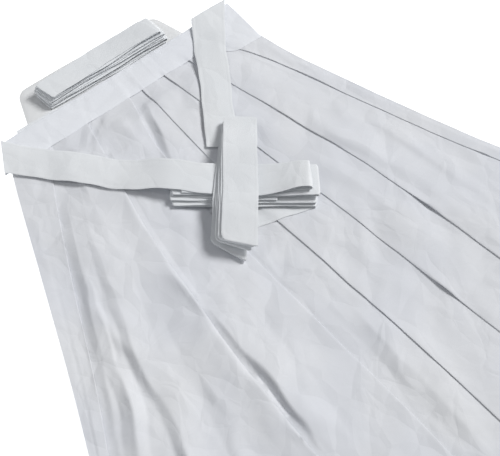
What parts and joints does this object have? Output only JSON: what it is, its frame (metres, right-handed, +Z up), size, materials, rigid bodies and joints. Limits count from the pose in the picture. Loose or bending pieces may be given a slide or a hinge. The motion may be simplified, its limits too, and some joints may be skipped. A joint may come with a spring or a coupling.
{
  "type": "hakama trousers",
  "caption": "Pleated wide-legged hakama laid flat, front up, with a trapezoid back board and its front and back ties folded in stacks.",
  "frame": {"origin": "centre of the bounding box's underside, on the surface that the garment lies on", "axes": "+Y from the hem to the waist, +X to the viewer's right (the wearer's left leg), +Z up out of the front"},
  "size_m": [0.9442, 0.9971, 0.0354],
  "materials": {
    "body_cloth": "plain-woven white cloth, pressed, with a soft sheen",
    "tie_cloth": "white cloth strip sewn double, matt with a soft sheen",
    "board_cloth": "white cloth over a stiff board"
  },
  "bodies": {
    "root": {"front_right_leg": "body_cloth", "front_left_leg": "body_cloth", "back_right_leg": "body_cloth", "back_left_leg": "body_cloth", "gusset": "body_cloth", "front_waistband": "tie_cloth", "front_tie_right": "tie_cloth", "front_tie_right_bundle": "tie_cloth", "front_tie_left": "tie_cloth", "front_tie_left_bundle": "tie_cloth", "back_board": "board_cloth", "back_waist_strip": "tie_cloth", "back_tie_bundle": "tie_cloth"}
  },
  "joints": []
}
